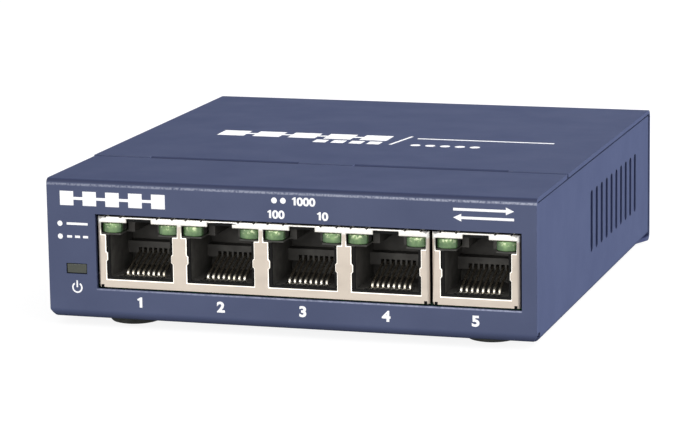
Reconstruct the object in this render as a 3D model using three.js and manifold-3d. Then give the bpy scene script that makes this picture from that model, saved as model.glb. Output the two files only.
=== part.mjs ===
// Desktop network switch with five jacks: a folded steel tray and cover, shielded jack
// blocks, a circuit board with its parts, a power inlet and stick-on rubber feet.
// Millimetres. +X is right as seen from the front, +Y is to the rear and +Z is up.
// The origin is on the surface it stands on, under the middle of the case.
import * as THREE from 'three';
import { mergeVertices } from 'three/addons/utils/BufferGeometryUtils.js';
import Module from 'manifold-3d';

const wasm = await Module();
wasm.setup();

// Driving dimensions of the case.
const CASE_WIDTH = 94;
const CASE_DEPTH = 101;
const CASE_HEIGHT = 26.6;
const FOOT_HEIGHT = 1.5;
const SHEET = 0.8;
const SEAM = 0.3;

const HALF_WIDTH = CASE_WIDTH / 2;
const FRONT = -CASE_DEPTH / 2;
const REAR = CASE_DEPTH / 2;
const FLOOR = FOOT_HEIGHT;
const TOP = FLOOR + CASE_HEIGHT;

// The tray sits a hair inside the cover's edges, and its top strip a hair lower.
const TRAY_HALF = HALF_WIDTH - 0.15;
const STRIP_TOP = TOP - 0.15;
const STRIP_REAR = FRONT + 24.2;
const SIDE_TOP = STRIP_TOP - SHEET - 0.25;
const TRAY_REAR = REAR - SHEET - 0.4;
const FRONT_FOLD = 1.8;
const TOP_FOLD = 1;
const SIDE_FOLD = 1;

// Vent slots in both side walls.
const SLOT_COUNT = 10;
const SLOT_PITCH = 4.55;
const SLOT_WIDTH = 1.9;
const SLOT_LENGTH = 12.1;
const SLOT_FIRST_Y = -5.35;
const SLOT_BOTTOM = FLOOR + 7.6;

// Jacks: positions, sizes of the metal shields and of the plug openings.
const PORT_COUNT = 5;
const GANGED_PORTS = 4;
const PORT_PITCH = 15.875;
const BLOCK_CENTRE = -5;
const SINGLE_CENTRE = 35.55;
const SHIELD_FRONT = FRONT + 0.2;
const SHIELD_BASE = FLOOR + 6.25;
const SHIELD_HEIGHT = 13.4;
const SHIELD_DEPTH = 22;
const SHIELD_WALL = 0.3;
const SHIELD_MARGIN = 0.2;
const WINDOW_GAP = 0.38;
const PLUG_HALF_WIDTH = 6.55;
const PLUG_BOTTOM = 1.5;
const PLUG_TOP = 9.95;
const LATCH_HALF_WIDTH = 2.4;
const LATCH_TOP = 13.05;
const LIGHT_OFFSET = 5.5;
const LIGHT_HALF_WIDTH = 1.95;
const LIGHT_BOTTOM = 10.2;
const LIGHT_TOP = 12.2;
const FIT = 0.15;

// Spring contacts: eight wires in each jack, side by side.
const WIRE_COUNT = 8;
const WIRE_PITCH = 1.02;
const WIRE_WIDTH = 0.42;
const WIRE_THICKNESS = 0.3;
const WIRE_TIP = [10.6, 5.2];

// Circuit board and the levels that follow from it.
const BOARD_THICKNESS = 1.6;
const BOARD_TOP = SHIELD_BASE - 0.45;
const BOARD_BOTTOM = BOARD_TOP - BOARD_THICKNESS;
const BOARD_HALF_WIDTH = 43.5;
const BOARD_FRONT = FRONT + 4;
const BOARD_REAR = REAR - 6;
const PART_BASE = BOARD_TOP + SEAM;
const BOARD_SCREWS = [[-40, -10], [40, -10], [-40, 38], [40, 38]];

// Power inlet and lock slot in the rear wall.
const INLET_X = -28;
const INLET_Z = BOARD_TOP + 6.8;
const INLET_HOLE_RADIUS = 4.5;
const LOCK_SLOT = { x: 31, z: 14, width: 7, height: 3 };

// Cover screws come up through the cover's return flange into the tray floor.
const COVER_SCREW_X = 30;
const COVER_SCREW_Y = REAR - 4.9;
const COVER_SCREW_HOLE = 1.7;
const FLANGE_FRONT = REAR - 9;
const FLANGE_BOTTOM = FLOOR - 1;
const SCREW_HEAD_HEIGHT = 0.35;
const SCREW_HEAD_GAP = 0.1;

// Power light window in the front wall.
const POWER_LIGHT = { x: -41.27, z: FLOOR + 9.5, halfWidth: 2.07, halfHeight: 1 };

const FEET = {
  foot_front_left: [-32.7, -42.4],
  foot_front_right: [36.3, -40.9],
  foot_rear_left: [-34, 33.2],
  foot_rear_right: [35.2, 32.6],
};

const networkSwitch = new THREE.Group();

function finish(color, roughness, metalness) {
  return new THREE.MeshStandardMaterial({ color, roughness, metalness });
}

const PAINT = [0x525b7b, 0.45, 0.2];
const NICKEL = [0xe8dccd, 0.25, 0.95];
const BLACK_PLASTIC = [0x191919, 0.55, 0];
const GOLD = [0xd9b15a, 0.25, 1];
const LENS = [0x7fb27a, 0.2, 0];
const RUBBER = [0x2d2f2d, 0.85, 0];
const ZINC = [0xb9bcc0, 0.35, 0.9];
const BLACK_ZINC = [0x24262b, 0.4, 0.8];

// A closed solid for joining and cutting, from any closed geometry.
function solid(geometry) {
  const bare = geometry.clone();
  bare.deleteAttribute('normal');
  bare.deleteAttribute('uv');
  const merged = mergeVertices(bare, 1e-5);
  return new wasm.Manifold(new wasm.Mesh({
    numProp: 3,
    vertProperties: new Float32Array(merged.attributes.position.array),
    triVerts: new Uint32Array(merged.index.array),
  }));
}

function geometryOf(body) {
  const mesh = body.getMesh();
  const geometry = new THREE.BufferGeometry();
  geometry.setAttribute('position', new THREE.BufferAttribute(mesh.vertProperties, 3));
  geometry.setIndex(new THREE.BufferAttribute(mesh.triVerts, 1));
  geometry.computeVertexNormals();
  return geometry;
}

function place(name, geometry, look, parent = networkSwitch) {
  const mesh = new THREE.Mesh(geometry, finish(...look));
  mesh.name = name;
  parent.add(mesh);
  return mesh;
}

function box(x, y, z) {
  const geometry = new THREE.BoxGeometry(x[1] - x[0], y[1] - y[0], z[1] - z[0]);
  geometry.translate((x[0] + x[1]) / 2, (y[0] + y[1]) / 2, (z[0] + z[1]) / 2);
  return geometry;
}

function centred(middle, half) {
  return [middle - half, middle + half];
}

// Prisms of a flat outline: (y, z) along X, (x, z) along Y and (x, y) along Z.
const ALONG = {
  X: new THREE.Matrix4().makeBasis(
    new THREE.Vector3(0, 1, 0), new THREE.Vector3(0, 0, 1), new THREE.Vector3(1, 0, 0)),
  Y: new THREE.Matrix4().makeBasis(
    new THREE.Vector3(1, 0, 0), new THREE.Vector3(0, 0, 1), new THREE.Vector3(0, -1, 0)),
  Z: new THREE.Matrix4(),
};

function prism(axis, shape, from, to, curveSegments = 8) {
  const depth = to - from;
  const geometry = new THREE.ExtrudeGeometry(shape, { depth, bevelEnabled: false, curveSegments });
  geometry.translate(0, 0, axis === 'Y' ? -to : from);
  return geometry.applyMatrix4(ALONG[axis]);
}

function rod(axis, a, b, radius, from, to, sides = 20) {
  const circle = new THREE.Shape();
  circle.absarc(a, b, radius, 0, 2 * Math.PI);
  return prism(axis, circle, from, to, sides);
}

function roundedRectangle(a, b, radius) {
  const shape = new THREE.Shape();
  shape.moveTo(a[0] + radius, b[0]);
  shape.lineTo(a[1] - radius, b[0]);
  shape.absarc(a[1] - radius, b[0] + radius, radius, -Math.PI / 2, 0);
  shape.lineTo(a[1], b[1] - radius);
  shape.absarc(a[1] - radius, b[1] - radius, radius, 0, Math.PI / 2);
  shape.lineTo(a[0] + radius, b[1]);
  shape.absarc(a[0] + radius, b[1] - radius, radius, Math.PI / 2, Math.PI);
  shape.lineTo(a[0], b[0] + radius);
  shape.absarc(a[0] + radius, b[0] + radius, radius, Math.PI, 1.5 * Math.PI);
  return shape;
}

// Outline of a sheet that follows a centre line. bends holds the centre-line radius at
// each corner between the two ends.
function foldedSheet(points, bends, thickness, steps = 6) {
  const corners = points.map(([a, b]) => new THREE.Vector2(a, b));
  const origin = new THREE.Vector2();
  const left = [];
  const right = [];
  const addPair = (point, normal) => {
    left.push(point.clone().addScaledVector(normal, thickness / 2));
    right.unshift(point.clone().addScaledVector(normal, -thickness / 2));
  };
  const direction = (from) => corners[from + 1].clone().sub(corners[from]).normalize();
  const normalOf = (along) => new THREE.Vector2(-along.y, along.x);
  const last = corners.length - 1;
  addPair(corners[0], normalOf(direction(0)));
  for (let corner = 1; corner < last; corner += 1) {
    const before = direction(corner - 1);
    const after = direction(corner);
    const turn = Math.atan2(before.cross(after), before.dot(after));
    const reach = bends[corner - 1] * Math.sign(turn);
    const setback = bends[corner - 1] * Math.tan(Math.abs(turn) / 2);
    const centre = corners[corner].clone()
      .addScaledVector(before, -setback)
      .addScaledVector(normalOf(before), reach);
    for (let step = 0; step <= steps; step += 1) {
      const normal = normalOf(before).rotateAround(origin, (turn * step) / steps);
      addPair(centre.clone().addScaledVector(normal, -reach), normal);
    }
  }
  addPair(corners[last], normalOf(direction(last - 1)));
  return new THREE.Shape([...left, ...right]);
}

function portX(port) {
  if (port >= GANGED_PORTS) {
    return SINGLE_CENTRE;
  }
  return BLOCK_CENTRE + (port - (GANGED_PORTS - 1) / 2) * PORT_PITCH;
}

function shieldWidth(ports) {
  return ports * PORT_PITCH + 2 * SHIELD_MARGIN;
}

// Tray: floor, side walls, front wall and the strip that returns over the jacks.
function baseTray() {
  const centre = SHEET / 2;
  const joint = 0.05;
  const frontFold = foldedSheet([
    [STRIP_REAR, STRIP_TOP - centre],
    [FRONT + centre, STRIP_TOP - centre],
    [FRONT + centre, FLOOR + centre],
    [FRONT + FRONT_FOLD + joint, FLOOR + centre],
  ], [TOP_FOLD - centre, FRONT_FOLD - centre], SHEET);
  const channel = foldedSheet([
    [-TRAY_HALF + centre, SIDE_TOP],
    [-TRAY_HALF + centre, FLOOR + centre],
    [TRAY_HALF - centre, FLOOR + centre],
    [TRAY_HALF - centre, SIDE_TOP],
  ], [SIDE_FOLD - centre, SIDE_FOLD - centre], SHEET);
  let tray = solid(prism('X', frontFold, -TRAY_HALF, TRAY_HALF))
    .add(solid(prism('Y', channel, FRONT + FRONT_FOLD, TRAY_REAR)));
  for (const side of [-1, 1]) {
    const wall = [side * TRAY_HALF, side * (TRAY_HALF - SHEET)].sort((p, q) => p - q);
    const butt = [FRONT + SHEET - joint, FRONT + FRONT_FOLD + joint];
    tray = tray.add(solid(box(wall, butt, [FLOOR + FRONT_FOLD, SIDE_TOP])));
    const relief = rod('X', FRONT + FRONT_FOLD + 0.1, FLOOR + 1.3, 0.5, wall[0] - 1, wall[1] + 1, 5);
    const foldCorner = new THREE.Shape([
      new THREE.Vector2(side * (TRAY_HALF - 1.05), FLOOR - 0.1),
      new THREE.Vector2(side * (TRAY_HALF + 0.1), FLOOR + 1.65),
      new THREE.Vector2(side * (TRAY_HALF + 1), FLOOR - 0.1),
    ]);
    tray = tray
      .subtract(solid(relief))
      .subtract(solid(prism('Y', foldCorner, FRONT - 1, FRONT + FRONT_FOLD + joint)));
  }
  for (let slot = 0; slot < SLOT_COUNT; slot += 1) {
    const across = centred(SLOT_FIRST_Y + slot * SLOT_PITCH, SLOT_WIDTH / 2);
    const opening = roundedRectangle(across, [SLOT_BOTTOM, SLOT_BOTTOM + SLOT_LENGTH], 0.9);
    tray = tray.subtract(solid(prism('X', opening, -HALF_WIDTH, HALF_WIDTH, 2)));
  }
  const jackWindow = [
    BLOCK_CENTRE - shieldWidth(GANGED_PORTS) / 2 - WINDOW_GAP,
    SINGLE_CENTRE + shieldWidth(1) / 2 + WINDOW_GAP,
  ];
  const lightWindow = centred(POWER_LIGHT.x, POWER_LIGHT.halfWidth);
  const windowHeight = [SHIELD_BASE - WINDOW_GAP, SHIELD_BASE + SHIELD_HEIGHT + WINDOW_GAP];
  const wallDepth = [FRONT - 1, FRONT + FRONT_FOLD];
  tray = tray
    .subtract(solid(box(jackWindow, wallDepth, windowHeight)))
    .subtract(solid(box(lightWindow, wallDepth, centred(POWER_LIGHT.z, POWER_LIGHT.halfHeight))));
  for (const x of [-COVER_SCREW_X, COVER_SCREW_X]) {
    tray = tray.subtract(solid(rod('Z', x, COVER_SCREW_Y, COVER_SCREW_HOLE, 0, FLOOR + 2, 12)));
  }
  return geometryOf(tray);
}

// Cover: top plate, rear wall and a flange that returns under the tray floor. Two stepped
// tabs at its front edge slide in under the tray's strip.
function topCover() {
  const centre = SHEET / 2;
  const coverFront = STRIP_REAR + SEAM;
  const fold = 1.5 - centre;
  const shell = foldedSheet([
    [coverFront, TOP - centre],
    [REAR - centre, TOP - centre],
    [REAR - centre, FLANGE_BOTTOM + centre],
    [FLANGE_FRONT, FLANGE_BOTTOM + centre],
  ], [fold, fold], SHEET);
  let cover = solid(prism('X', shell, -HALF_WIDTH, HALF_WIDTH));
  const tabInner = 5.45;
  const tabOuter = 35.5;
  const stepStart = coverFront + 1.2;
  const tabLevel = STRIP_TOP - SHEET - SEAM - centre;
  const step = foldedSheet([
    [stepStart + 2, TOP - centre],
    [stepStart, TOP - centre],
    [coverFront - 0.4, tabLevel],
    [coverFront - 8, tabLevel],
  ], [0.6, 0.6], SHEET, 3);
  for (const side of [-1, 1]) {
    const tab = [side * tabInner, side * tabOuter].sort((p, q) => p - q);
    cover = cover
      .subtract(solid(box(tab, [coverFront - 1, stepStart], [TOP - 2, TOP + 1])))
      .add(solid(prism('X', step, tab[0], tab[1])));
    const lip = [side * (TRAY_HALF - 2 * SHEET - 0.35), side * (TRAY_HALF - SHEET - 0.35)];
    lip.sort((p, q) => p - q);
    cover = cover.add(solid(box(lip, [coverFront + 3, REAR - 4], [TOP - 5.5, TOP - centre])));
    const corner = new THREE.Shape([
      new THREE.Vector2(side * (HALF_WIDTH + 1), REAR - 1.6),
      new THREE.Vector2(side * HALF_WIDTH, REAR - 1.9),
      new THREE.Vector2(side * (HALF_WIDTH - 2.9), FLANGE_FRONT - 0.1),
      new THREE.Vector2(side * (HALF_WIDTH + 1), FLANGE_FRONT - 0.1),
    ]);
    cover = cover
      .subtract(solid(prism('Z', corner, FLANGE_BOTTOM - 1, FLOOR - 0.1)))
      .subtract(solid(rod('Z', side * COVER_SCREW_X, COVER_SCREW_Y, COVER_SCREW_HOLE, 0, FLOOR, 12)));
  }
  const wallDepth = [REAR - 2, REAR + 1];
  const lockHole = roundedRectangle(
    centred(LOCK_SLOT.x, LOCK_SLOT.width / 2), centred(LOCK_SLOT.z, LOCK_SLOT.height / 2), 0.7);
  return geometryOf(cover
    .subtract(solid(rod('Y', INLET_X, INLET_Z, INLET_HOLE_RADIUS, ...wallDepth, 12)))
    .subtract(solid(prism('Y', lockHole, ...wallDepth, 3))));
}

// A turned piece: profile points are (radius, height), from the axis round to the axis.
function turned(profile, sides = 20) {
  const geometry = new THREE.LatheGeometry(profile.map(([r, z]) => new THREE.Vector2(r, z)), sides);
  return geometry.rotateX(Math.PI / 2);
}

function foot() {
  const radius = 5;
  const top = FOOT_HEIGHT - 0.25;
  return turned([[0, 0], [radius - 0.6, 0], [radius - 0.15, 0.35], [radius, 0.8], [radius, top], [0, top]], 20);
}

function flatScrew(headRadius, headHeight, shankRadius, length) {
  return turned([
    [0, 0],
    [headRadius - 0.3, 0],
    [headRadius, 0.2],
    [headRadius, headHeight],
    [shankRadius, headHeight],
    [shankRadius, length],
    [0, length],
  ], 16);
}

function boardScrew() {
  const shank = 1.1;
  const reach = PART_BASE - (FLOOR + SHEET + 0.8);
  return turned([[0, -reach], [shank, -reach], [shank, 0], [2.6, 0], [2.6, 0.9], [1.7, 1.5], [0, 1.5]], 16);
}

function standoff() {
  const height = BOARD_BOTTOM - SEAM - (FLOOR + SHEET + SEAM);
  const hexagon = new THREE.Shape();
  const corners = 6;
  for (let corner = 0; corner < corners; corner += 1) {
    const angle = (corner * 2 * Math.PI) / corners;
    const point = [2.9 * Math.cos(angle), 2.9 * Math.sin(angle)];
    if (corner === 0) {
      hexagon.moveTo(...point);
    } else {
      hexagon.lineTo(...point);
    }
  }
  const thread = new THREE.Path();
  thread.absarc(0, 0, 1.4, 0, 2 * Math.PI, true);
  hexagon.holes.push(thread);
  return prism('Z', hexagon, 0, height, 12);
}

function circuitBoard() {
  const outline = roundedRectangle(
    centred(0, BOARD_HALF_WIDTH), [BOARD_FRONT, BOARD_REAR], 1);
  for (const [x, y] of BOARD_SCREWS) {
    const hole = new THREE.Path();
    hole.absarc(x, y, 1.6, 0, 2 * Math.PI, true);
    outline.holes.push(hole);
  }
  return prism('Z', outline, BOARD_BOTTOM, BOARD_TOP, 6);
}

// Jack pieces are drawn about their own front face: X from the block's middle, Y back from
// the shield's front and Z up from the shield's bottom edge.
function portsOf(count) {
  return Array.from({ length: count }, (_, port) => (port - (count - 1) / 2) * PORT_PITCH);
}

// One outline holds the plug opening with its two grounding tabs, the shoulders that show
// the lights, and the notch for the plug's latch.
function plugOpening(x) {
  const tab = 0.45;
  const tabHeights = [4.9, 6.7];
  const shoulder = LIGHT_OFFSET + LIGHT_HALF_WIDTH + 0.05;
  const shoulderTop = LIGHT_TOP + 0.05;
  const rightHalf = [
    [PLUG_HALF_WIDTH, PLUG_BOTTOM],
    [PLUG_HALF_WIDTH, tabHeights[0]],
    [PLUG_HALF_WIDTH - tab, tabHeights[0] + tab / 2],
    [PLUG_HALF_WIDTH - tab, tabHeights[1] - tab / 2],
    [PLUG_HALF_WIDTH, tabHeights[1]],
    [PLUG_HALF_WIDTH, PLUG_TOP],
    [shoulder, PLUG_TOP],
    [shoulder, shoulderTop],
    [LATCH_HALF_WIDTH, shoulderTop],
    [LATCH_HALF_WIDTH, LATCH_TOP],
  ];
  const leftHalf = rightHalf.map(([a, b]) => [-a, b]).reverse();
  return new THREE.Shape([...rightHalf, ...leftHalf].map(([a, b]) => new THREE.Vector2(x + a, b)));
}

function jackShield(count) {
  const half = shieldWidth(count) / 2;
  let shield = solid(box([-half, half], [0, SHIELD_DEPTH], [0, SHIELD_HEIGHT]))
    .subtract(solid(box(
      centred(0, half - SHIELD_WALL),
      [SHIELD_WALL, SHIELD_DEPTH - SHIELD_WALL],
      [-1, SHIELD_HEIGHT - SHIELD_WALL],
    )));
  const nickOffsets = [-6.6, -3.6, 3.6, 6.6];
  const nick = { halfWidth: 0.28, height: 0.3, depth: 1.6 };
  const corner = { offset: half - 0.75, halfWidth: 0.3, height: 0.5 };
  for (const x of portsOf(count)) {
    shield = shield.subtract(solid(prism('Y', plugOpening(x), -1, 1)));
    for (const offset of nickOffsets) {
      const notch = new THREE.Shape([
        new THREE.Vector2(x + offset, SHIELD_HEIGHT - nick.height),
        new THREE.Vector2(x + offset + 2 * nick.halfWidth, SHIELD_HEIGHT + nick.height),
        new THREE.Vector2(x + offset - 2 * nick.halfWidth, SHIELD_HEIGHT + nick.height),
      ]);
      shield = shield.subtract(solid(prism('Y', notch, -1, nick.depth)));
    }
  }
  for (const side of [-1, 1]) {
    const across = centred(side * corner.offset, corner.halfWidth);
    shield = shield.subtract(solid(box(across, [-1, 1], [-1, corner.height])));
  }
  return geometryOf(shield);
}

function wireOffset(wire) {
  return (wire - (WIRE_COUNT - 1) / 2) * WIRE_PITCH;
}

// Plastic block: a plug cavity with a guide comb hanging across its rear, a channel for the
// plug's latch that is wide open between the lights, and a pocket over a thin shelf for
// each light.
function jackHousing(count) {
  const half = shieldWidth(count) / 2 - SHIELD_WALL - FIT;
  const front = SHIELD_WALL + FIT;
  const top = SHIELD_HEIGHT - SHIELD_WALL - FIT;
  let housing = solid(box([-half, half], [front, SHIELD_DEPTH - front], [-FIT, top]));
  const cavity = { halfWidth: 5.95, bottom: 1.9, top: 9.9, rear: 12.3 };
  const comb = { front: 9.9, top: 6.9, slotTop: 5.7, bottom: 4.6, slotHalfWidth: 0.31 };
  const channel = { halfWidth: 2.25, wideHalfWidth: 3.7, wideDepth: 4, top: 12.5 };
  for (const x of portsOf(count)) {
    const across = centred(x, cavity.halfWidth);
    const channelHeight = [cavity.top - 0.1, channel.top];
    housing = housing
      .subtract(solid(box(across, [0, comb.front], [cavity.bottom, cavity.top])))
      .subtract(solid(box(across, [comb.front - 1, cavity.rear], [comb.top, cavity.top])))
      .subtract(solid(box(across, [comb.front - 1, cavity.rear], [cavity.bottom, comb.bottom])))
      .subtract(solid(box(centred(x, channel.halfWidth), [0, cavity.rear], channelHeight)))
      .subtract(solid(box(centred(x, channel.wideHalfWidth), [0, channel.wideDepth], channelHeight)))
      .subtract(solid(box(centred(x, 4.4), [2.1, 4.5], [0.9, cavity.bottom + 0.1])));
    for (let wire = 0; wire < WIRE_COUNT; wire += 1) {
      const slot = centred(x + wireOffset(wire), comb.slotHalfWidth);
      const slotHeight = [comb.bottom - 0.1, comb.slotTop];
      housing = housing.subtract(solid(box(slot, [comb.front - 1, cavity.rear], slotHeight)));
    }
    for (const side of [-1, 1]) {
      const pocket = centred(x + side * LIGHT_OFFSET, LIGHT_HALF_WIDTH);
      housing = housing.subtract(solid(box(pocket, [0, 7.5], [LIGHT_BOTTOM, LIGHT_TOP])));
    }
  }
  return geometryOf(housing);
}

// Eight spring wires rise out of a bar under the jack floor and slope up towards the rear.
function contactSet() {
  const outline = foldedSheet([[3.3, 1.5], [3.3, 2.45], WIRE_TIP], [0.5], WIRE_THICKNESS, 4);
  let set = solid(box([-4, 4], [2.75, 3.85], [1.15, 1.75]));
  for (let wire = 0; wire < WIRE_COUNT; wire += 1) {
    const across = centred(wireOffset(wire), WIRE_WIDTH / 2);
    set = set.add(solid(prism('X', outline, across[0], across[1])));
  }
  return geometryOf(set);
}

function lightLens() {
  const play = 0.12;
  return box(
    centred(0, LIGHT_HALF_WIDTH - play),
    [-0.05, 7.2],
    [LIGHT_BOTTOM + play, LIGHT_TOP - play],
  );
}

// Clear bar from the front window back and down to the light on the board.
function powerLightPipe() {
  const play = 0.12;
  const leg = { front: BOARD_FRONT + 1.5, rear: BOARD_FRONT + 2.9, bottom: PART_BASE + 1.3 };
  const height = centred(POWER_LIGHT.z, POWER_LIGHT.halfHeight - play);
  const outline = new THREE.Shape([
    new THREE.Vector2(FRONT + 0.1, height[0]),
    new THREE.Vector2(leg.front, height[0]),
    new THREE.Vector2(leg.front, leg.bottom),
    new THREE.Vector2(leg.rear, leg.bottom),
    new THREE.Vector2(leg.rear, height[1]),
    new THREE.Vector2(FRONT + 0.1, height[1]),
  ]);
  return prism('X', outline, ...centred(POWER_LIGHT.x, POWER_LIGHT.halfWidth - play));
}

// Barrel inlet: its body runs forward from Y = 0 and a round nose fills the hole in the
// rear wall, flush with the outside. Its bore opens to the rear.
function inletBody() {
  const bore = { radius: 3.15, depth: 9.5 };
  const nose = { radius: INLET_HOLE_RADIUS - SEAM, length: SHEET + SEAM };
  const body = solid(box([-4.5, 4.5], [-14, 0], [PART_BASE - INLET_Z, 4.6]))
    .add(solid(rod('Y', 0, 0, nose.radius, -1, nose.length, 12)))
    .subtract(solid(rod('Y', 0, 0, bore.radius, -bore.depth, nose.length + 1, 12)));
  return geometryOf(body);
}

function inletPin() {
  const pin = turned([[0, 0], [1, 0], [1, 8], [0.6, 8.4], [0, 8.4]], 16);
  return pin.rotateX(-Math.PI / 2).translate(0, -9.2, 0);
}

function heatSink() {
  const half = 10;
  const fins = 7;
  const finWidth = 1;
  const base = 1.5;
  const height = 6.5;
  const pitch = (2 * half - finWidth) / (fins - 1);
  const points = [new THREE.Vector2(-half, 0), new THREE.Vector2(half, 0)];
  for (let fin = fins - 1; fin >= 0; fin -= 1) {
    const left = -half + fin * pitch;
    points.push(new THREE.Vector2(left + finWidth, height), new THREE.Vector2(left, height));
    if (fin > 0) {
      points.push(new THREE.Vector2(left, base), new THREE.Vector2(left - pitch + finWidth, base));
    }
  }
  return prism('Y', new THREE.Shape(points), -half, half);
}

function chip(width, depth, height) {
  return box(centred(0, width / 2), centred(0, depth / 2), [0, height]);
}

function capacitor() {
  return turned([[0, 0], [3.15, 0], [3.15, 7.4], [2.8, 7.8], [0, 7.8]], 20);
}

function crystalCan() {
  const outline = roundedRectangle(centred(0, 5.4), centred(0, 2.25), 2.2);
  return prism('Z', outline, 0, 3.5, 6);
}

place('base_tray', baseTray(), PAINT);
place('top_cover', topCover(), PAINT);

for (const [name, side] of [['cover_screw_left', -1], ['cover_screw_right', 1]]) {
  const headBottom = FLANGE_BOTTOM - SCREW_HEAD_GAP - SCREW_HEAD_HEIGHT;
  const screw = place(name, flatScrew(2.7, SCREW_HEAD_HEIGHT, 1.35, 4.6), BLACK_ZINC);
  screw.position.set(side * COVER_SCREW_X, COVER_SCREW_Y, headBottom);
}

for (const [name, [x, y]] of Object.entries(FEET)) {
  place(name, foot(), RUBBER).position.set(x, y, 0);
}

place('circuit_board', circuitBoard(), [0x1e5a3a, 0.5, 0]);
BOARD_SCREWS.forEach(([x, y], index) => {
  place(`standoff_${index + 1}`, standoff(), ZINC).position.set(x, y, FLOOR + SHEET + SEAM);
  place(`board_screw_${index + 1}`, boardScrew(), ZINC).position.set(x, y, PART_BASE);
});

for (const [name, count, x] of [['block', GANGED_PORTS, BLOCK_CENTRE], ['single', 1, SINGLE_CENTRE]]) {
  const jack = new THREE.Group();
  jack.position.set(x, SHIELD_FRONT, SHIELD_BASE);
  place(`jack_${name}_shield`, jackShield(count), NICKEL, jack);
  place(`jack_${name}_housing`, jackHousing(count), BLACK_PLASTIC, jack);
  networkSwitch.add(jack);
}

for (let port = 0; port < PORT_COUNT; port += 1) {
  const jack = new THREE.Group();
  jack.position.set(portX(port), SHIELD_FRONT, SHIELD_BASE);
  place(`contact_set_port_${port + 1}`, contactSet(), GOLD, jack);
  place(`light_lens_port_${port + 1}_left`, lightLens(), LENS, jack).position.x = -LIGHT_OFFSET;
  place(`light_lens_port_${port + 1}_right`, lightLens(), LENS, jack).position.x = LIGHT_OFFSET;
  networkSwitch.add(jack);
  const magnetics = place(`magnetics_module_${port + 1}`, chip(12.7, 9.4, 5.6), BLACK_PLASTIC);
  magnetics.position.set(portX(port), -21, PART_BASE);
}

place('power_light_pipe', powerLightPipe(), LENS);
place('power_light', chip(2, 1.2, 0.8), [0xe8e4c8, 0.4, 0])
  .position.set(POWER_LIGHT.x, BOARD_FRONT + 2.2, PART_BASE);

const inlet = new THREE.Group();
inlet.position.set(INLET_X, REAR - SHEET - SEAM, INLET_Z);
place('power_inlet_body', inletBody(), BLACK_PLASTIC, inlet);
place('power_inlet_pin', inletPin(), NICKEL, inlet);
networkSwitch.add(inlet);

const CHIP_CENTRE = [-2, 2];
const CHIP_HEIGHT = 1.4;
place('switch_chip', chip(14, 14, CHIP_HEIGHT), BLACK_PLASTIC).position.set(...CHIP_CENTRE, PART_BASE);
place('heat_sink', heatSink(), [0x9aa0a6, 0.4, 0.9])
  .position.set(...CHIP_CENTRE, PART_BASE + CHIP_HEIGHT + SEAM);
place('memory_chip', chip(5, 4, 1.5), BLACK_PLASTIC).position.set(16, 8, PART_BASE);
place('clock_crystal', crystalCan(), NICKEL).position.set(16, 22, PART_BASE);
place('regulator_chip', chip(5, 4, 1.5), BLACK_PLASTIC).position.set(-3, 33, PART_BASE);
place('power_inductor', chip(7.3, 7.3, 3.6), [0x3a3b3d, 0.7, 0.1]).position.set(-14, 32, PART_BASE);
place('capacitor_1', capacitor(), [0xa9adb3, 0.35, 0.8]).position.set(-35, 23, PART_BASE);
place('capacitor_2', capacitor(), [0xa9adb3, 0.35, 0.8]).position.set(-25, 26, PART_BASE);

export default networkSwitch;
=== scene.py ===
from math import cos, pi, radians, sin, tau

import bmesh
import bpy
from mathutils import Matrix, Vector


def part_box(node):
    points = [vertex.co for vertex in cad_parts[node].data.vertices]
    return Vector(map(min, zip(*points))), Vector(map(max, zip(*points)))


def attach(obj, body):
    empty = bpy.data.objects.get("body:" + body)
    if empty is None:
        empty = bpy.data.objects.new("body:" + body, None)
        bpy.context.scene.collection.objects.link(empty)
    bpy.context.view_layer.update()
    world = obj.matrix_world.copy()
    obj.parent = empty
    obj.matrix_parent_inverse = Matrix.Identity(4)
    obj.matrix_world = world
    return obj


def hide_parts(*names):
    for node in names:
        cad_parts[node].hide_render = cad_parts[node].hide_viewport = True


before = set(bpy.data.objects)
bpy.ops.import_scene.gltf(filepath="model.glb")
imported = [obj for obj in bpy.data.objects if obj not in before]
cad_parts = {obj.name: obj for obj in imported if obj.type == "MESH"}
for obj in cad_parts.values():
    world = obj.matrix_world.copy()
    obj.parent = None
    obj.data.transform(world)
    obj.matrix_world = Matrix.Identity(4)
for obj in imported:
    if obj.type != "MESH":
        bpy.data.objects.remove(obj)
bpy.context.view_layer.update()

# ----------------------------------------------
# Camera: a long lens a little to the right of the switch and just above it, where a
# person who leans down to read the jacks has their eye.
VIEW_AZIMUTH = radians(17.114)
VIEW_ELEVATION = radians(11.158)
VIEW_ROLL = radians(-0.841)
VIEW_PLACE = Vector((0.16785, -0.55594, 0.1278))
LENS_LENGTH = 153.49
LENS_SHIFT = -0.0104

ahead = Vector((
    -sin(VIEW_AZIMUTH) * cos(VIEW_ELEVATION),
    cos(VIEW_AZIMUTH) * cos(VIEW_ELEVATION),
    -sin(VIEW_ELEVATION),
))
level = Vector((cos(VIEW_AZIMUTH), sin(VIEW_AZIMUTH), 0))
upright = level.cross(ahead)
to_right = level * cos(VIEW_ROLL) + upright * sin(VIEW_ROLL)
to_top = upright * cos(VIEW_ROLL) - level * sin(VIEW_ROLL)
lens = bpy.data.cameras.new("bench_camera")
lens.lens = LENS_LENGTH
lens.sensor_width = 36
lens.shift_y = LENS_SHIFT
lens.clip_start = 0.02
camera = bpy.data.objects.new("bench_camera", lens)
camera.matrix_world = Matrix.Translation(VIEW_PLACE) @ Matrix((
    (to_right.x, to_top.x, -ahead.x, 0),
    (to_right.y, to_top.y, -ahead.y, 0),
    (to_right.z, to_top.z, -ahead.z, 0),
    (0, 0, 0, 1),
))
bpy.context.scene.collection.objects.link(camera)
bpy.context.scene.camera = camera
bpy.context.scene.view_settings.view_transform = "Standard"

# ----------------------------------------------
# Floor and light: a white sweep under the switch, a wide soft sky, and soft boxes in
# front of it, over it, to its right and behind it.
FLOOR_REACH = 4


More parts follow.
